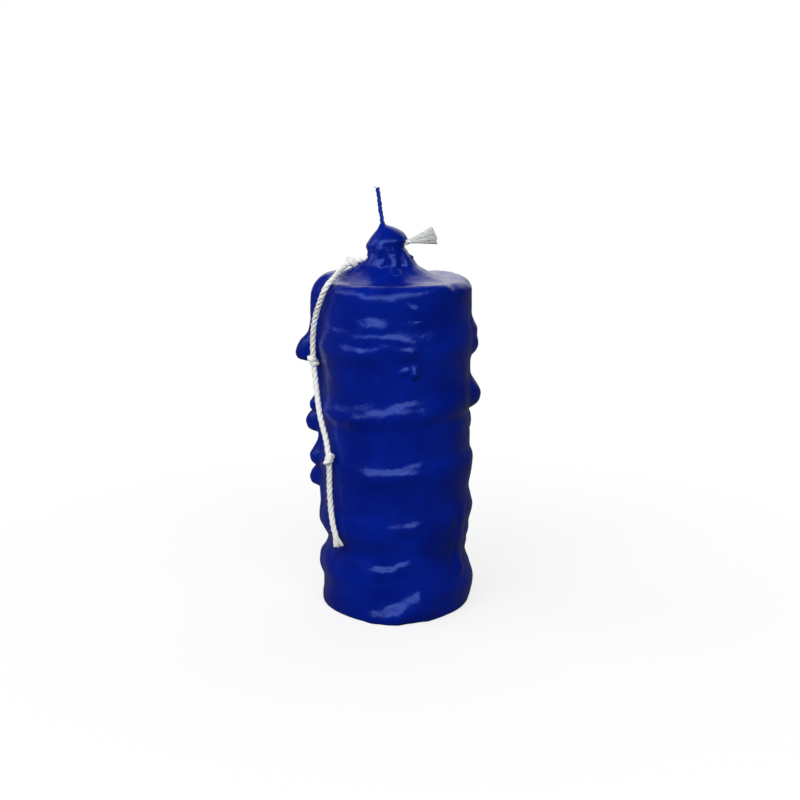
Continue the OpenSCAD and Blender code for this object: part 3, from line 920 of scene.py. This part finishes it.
# Swellings: azimuth, height, half width, half height, how proud, fall for each degree of azimuth.
SEAL_LUMPS = [(270, 164.4, 50, 1.8, -0.7, 0), (22, 162.8, 16, 3.4, 0.8, 0.1),
              (305, 161.8, 14, 2.6, 0.55, 0), (19, 157.4, 11, 2.6, 0.6, 0.05),
              (322, 157, 13, 6.0, -0.5, 0), (281, 160.2, 9, 1.3, 1.0, 0),
              (300, 169, 50, 3.0, 0.4, 0), (90, 164.5, 40, 3.0, 0.3, 0),
              (190, 163, 40, 3.0, 0.8, 0.05), (215, 157, 16, 5.0, 1.5, 0),
              (150, 160, 30, 2.0, -0.7, 0)]
# A drip down the front of the seal, given like the drips of the coat.
SEAL_DRIP = drip_levels(346, 2.8, [(9.5, 0, 161.5), (9.5, 0.8, 159.2), (9.5, 1.6, 156.8),
                                   (9.5, 2.0, 155.6)])
# The tuck in front: how far the skirt is drawn in, azimuth, half width.
FRONT_TUCK = (5.5, 355, 62)
# The web of wax under the cord: azimuth, half width, height, half height, how proud.
WEB = (84, 34, 154.8, 4.8, 3.0)
# The seal's fine unevenness: lumps to a radian round it, and millimetres to a lump up it.
GRAIN_ROUND = 4
GRAIN_TALL = 4


def front_tuck(a, z):
    """How much less the seal spreads in front: most above the foot of the skirt."""
    deep, at, half = FRONT_TUCK
    return deep * bump(apart(a, at) / half) * ease((163.5 - z) / 11) * (1 - 0.6 * ease((151.5 - z) / 3))


def web_rise(a, z):
    at, half, high, tall, proud = WEB
    return proud * bump(apart(a, at) / half) * bump((z - high) / tall)


def seal_grain(a, z):
    """Fine unevenness: more on the skirt, and none at the tip."""
    skirt = ease((162 - z) / 8)
    rough = noise.noise(Vector((GRAIN_ROUND * sine(a), GRAIN_ROUND * cosine(a), z / GRAIN_TALL)))
    return (0.15 + 0.2 * skirt) * rough * ease((174 - z) / 4)


def seal_radius(a, z, r):
    """Radius of the seal at a place, from the radius of its ring."""
    r -= front_tuck(a, z)
    r += web_rise(a, z) + one_drip(SEAL_DRIP, a, z)
    for at, level, half, tall, proud, fall in SEAL_LUMPS:
        offset = angle_from(at, a)
        r += proud * bump(offset / half) * bump((z - level + fall * offset) / tall)
    return r + seal_grain(a, z)


def lift_onto_coat(point):
    """How far a point of the seal has to rise so that the skirt runs out onto the coat."""
    out = point.xy.length
    a = math.degrees(math.atan2(-point.x, -point.y)) % 360
    over = point.z - top_height(a, out)
    if out > SHOULDER_FROM:
        over += shoulder_fall(a, out)
    return (math.sqrt(over * over + RUN_OUT ** 2) - over) / 2 - EDGE_SUNK * ease(-over / 2)


def seal_outline(a):
    """The seal at one azimuth: down from the tip to the edge on the shoulder, and back up inside."""
    across = Vector((-sine(a), -cosine(a), 0))
    points = []
    for middle, r, z in SEAL_LEVELS:
        point = Vector((middle, 0, z)) + across * seal_radius(a, z, r)
        point.z += lift_onto_coat(point)
        points.append(point)
    bed = Vector((0, 0, COAT_TOP - BED_DEEP))
    points += [bed + across * BED_R, bed + across * BORE_R, wick_point(*(across * BORE_R).xy, BORE_TOP)]
    return points


seal_mesh = closed_grid([seal_outline(360 * i / SEAL_COLUMNS) for i in range(SEAL_COLUMNS)])
piece_from(seal_mesh, "poured_seal", blue_wax, "candle", "blue_wax", "wax_seal")


# The wick: three plies of cotton, stiff with wax, and one loose filament at the tip.
WICK_PLIES = 3
PLY_R = 0.5
PLY_SIDES = 8
PLY_SPREAD = 0.5
PLY_SLACK = 0.5
WICK_LAY = 6.5
WICK_STEP = 0.5
WICK_ROUTE = [(0, 0, 0.4), (0, 0, 70), (0, 0, 146), (0, 0, 150), wick_point(0, 0, 4), wick_point(0, 0, 14),
              wick_point(0, 0, 23), (-6.1, 0, 175.5), (-6.4, 0.1, 178), (-7.0, -0.1, 181.2),
              (-7.3, 0.1, 184.4), (-7.7, 0, 187.4), (-8.1, 0, 190)]
FILAMENT_ROUTE = [(-8.0, 0, 189.2), (-8.7, 0, 190.0), (-9.6, 0.1, 190.6)]
FILAMENT_R = 0.12
FILAMENT_SIDES = 6
FILAMENT_STEP = 0.3

wick_line = smooth_line(WICK_ROUTE, WICK_STEP)
ply_lines = strands_along(wick_line, WICK_PLIES, PLY_SPREAD, WICK_LAY, phase=0.4, slack=PLY_SLACK, seed=6)
ply_sizes = uneven_sizes(ply_lines, WICK_STEP, uneven=0.22, rate=1.1, unlike=4.7, seed=8)
filament = smooth_line(FILAMENT_ROUTE, FILAMENT_STEP)
wick_mesh = joined(tubes(ply_lines, PLY_R, PLY_SIDES, ply_sizes),
                   tubes([filament], FILAMENT_R, FILAMENT_SIDES))
piece_from(wick_mesh, "waxed_wick", wick_wax, "candle", "waxed_wick", "wick")


# Pieces that keep the construction's own shape.
for node, material in [("wax_core", cut_wax), ("wick_sustainer", tin)]:
    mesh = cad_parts[node].data
    mesh.materials.clear()
    mesh.materials.append(material)


# The floor: white paper, which keeps the shadow near the candle and is plain white further off.
FLOOR_HALF = 4.0
SHADOW_NEAR = 0.04
SHADOW_FAR = 0.3
WHITE_NEAR = 0.72
# How much light the paper throws back onto the candle.
PAPER_BOUNCE = 0.11
PAPER_MATT = 0.9


def grey(level):
    return (level, level, level, 1)


def white_paper(name):
    material = bpy.data.materials.new(name)
    material.use_nodes = True
    tree = material.node_tree
    tree.nodes.clear()
    path = tree.nodes.new("ShaderNodeLightPath")
    bounce = node_of(tree, "ShaderNodeBsdfDiffuse", Color=grey(PAPER_BOUNCE))
    matt = node_of(tree, "ShaderNodeBsdfDiffuse", Color=grey(PAPER_MATT))
    white = node_of(tree, "ShaderNodeEmission", Color=grey(1), Strength=1.0)
    spot = tree.nodes.new("ShaderNodeTexCoord")
    distance = tree.nodes.new("ShaderNodeVectorMath")
    distance.operation = "LENGTH"
    fade = node_of(tree, "ShaderNodeMapRange", From_Min=SHADOW_NEAR, From_Max=SHADOW_FAR,
                   To_Min=WHITE_NEAR, To_Max=1.0)
    fade.interpolation_type = "SMOOTHSTEP"
    shown = tree.nodes.new("ShaderNodeMixShader")
    whole = tree.nodes.new("ShaderNodeMixShader")
    output = tree.nodes.new("ShaderNodeOutputMaterial")
    tree.links.new(spot.outputs["Object"], distance.inputs[0])
    tree.links.new(distance.outputs["Value"], fade.inputs["Value"])
    tree.links.new(fade.outputs["Result"], shown.inputs["Fac"])
    tree.links.new(matt.outputs[0], shown.inputs[1])
    tree.links.new(white.outputs[0], shown.inputs[2])
    tree.links.new(path.outputs["Is Camera Ray"], whole.inputs["Fac"])
    tree.links.new(bounce.outputs[0], whole.inputs[1])
    tree.links.new(shown.outputs[0], whole.inputs[2])
    tree.links.new(whole.outputs[0], output.inputs["Surface"])
    return material


floor_grid = bmesh.new()
bmesh.ops.create_grid(floor_grid, x_segments=8, y_segments=8, size=FLOOR_HALF)
floor_mesh = bpy.data.meshes.new("floor")
floor_grid.to_mesh(floor_mesh)
floor_grid.free()
floor_mesh.materials.append(white_paper("white_paper"))
floor = bpy.data.objects.new("floor", floor_mesh)
bpy.context.scene.collection.objects.link(floor)


# The room: brighter on the left. What the wax mirrors is dark, except straight behind it.
AMBIENT_LEFT = 0.42
AMBIENT_RIGHT = 0.14
MIRRORED_DARK = 0.06
MIRROR_FROM = 0.86
MIRROR_FULL = 0.99


def studio_room(name):
    world = bpy.data.worlds.new(name)
    world.use_nodes = True
    tree = world.node_tree
    tree.nodes.clear()
    path = tree.nodes.new("ShaderNodeLightPath")
    coords = tree.nodes.new("ShaderNodeTexCoord")
    split = tree.nodes.new("ShaderNodeSeparateXYZ")
    behind = node_of(tree, "ShaderNodeMapRange", From_Min=MIRROR_FROM, From_Max=MIRROR_FULL,
                     To_Min=MIRRORED_DARK, To_Max=1.0)
    sideways = node_of(tree, "ShaderNodeMapRange", From_Min=-1, From_Max=1,
                       To_Min=AMBIENT_LEFT, To_Max=AMBIENT_RIGHT)
    ambient = node_of(tree, "ShaderNodeBackground", Color=(0.95, 0.98, 1.0, 1))
    seen = node_of(tree, "ShaderNodeBackground", Color=grey(1), Strength=1.0)
    mirrored = node_of(tree, "ShaderNodeBackground", Color=grey(1))
    glossy = tree.nodes.new("ShaderNodeMixShader")
    whole = tree.nodes.new("ShaderNodeMixShader")
    output = tree.nodes.new("ShaderNodeOutputWorld")
    tree.links.new(coords.outputs["Generated"], split.inputs[0])
    tree.links.new(split.outputs["X"], sideways.inputs["Value"])
    tree.links.new(sideways.outputs["Result"], ambient.inputs["Strength"])
    tree.links.new(split.outputs["Y"], behind.inputs["Value"])
    tree.links.new(behind.outputs["Result"], mirrored.inputs["Strength"])
    tree.links.new(path.outputs["Is Glossy Ray"], glossy.inputs["Fac"])
    tree.links.new(ambient.outputs[0], glossy.inputs[1])
    tree.links.new(mirrored.outputs[0], glossy.inputs[2])
    tree.links.new(path.outputs["Is Camera Ray"], whole.inputs["Fac"])
    tree.links.new(glossy.outputs[0], whole.inputs[1])
    tree.links.new(seen.outputs[0], whole.inputs[2])
    tree.links.new(whole.outputs[0], output.inputs["Surface"])
    return world


bpy.context.scene.world = studio_room("studio")


# Lamps: softboxes turned to the middle of the candle. Places and sizes are in metres, power in watts.
LAMPS_AIM = Vector((0, 0, 0.08))


def softbox(name, at, width, height, power):
    """A lamp with a rectangular face."""
    data = bpy.data.lights.new(name, "AREA")
    data.shape = "RECTANGLE"
    data.size = width
    data.size_y = height
    data.energy = power
    lamp = bpy.data.objects.new(name, data)
    lamp.location = at
    lamp.rotation_euler = (LAMPS_AIM - Vector(at)).to_track_quat("-Z", "Y").to_euler()
    bpy.context.scene.collection.objects.link(lamp)


softbox("key_softbox", at=(-0.2, -1.15, 0.85), width=2.8, height=0.62, power=28)
softbox("fill_softbox", at=(-1.3, 0.1, 0.8), width=0.8, height=0.8, power=4)
softbox("back_softbox", at=(0.5, 1.3, 1.1), width=2.4, height=1.2, power=10)

bpy.context.scene.view_settings.view_transform = "Standard"
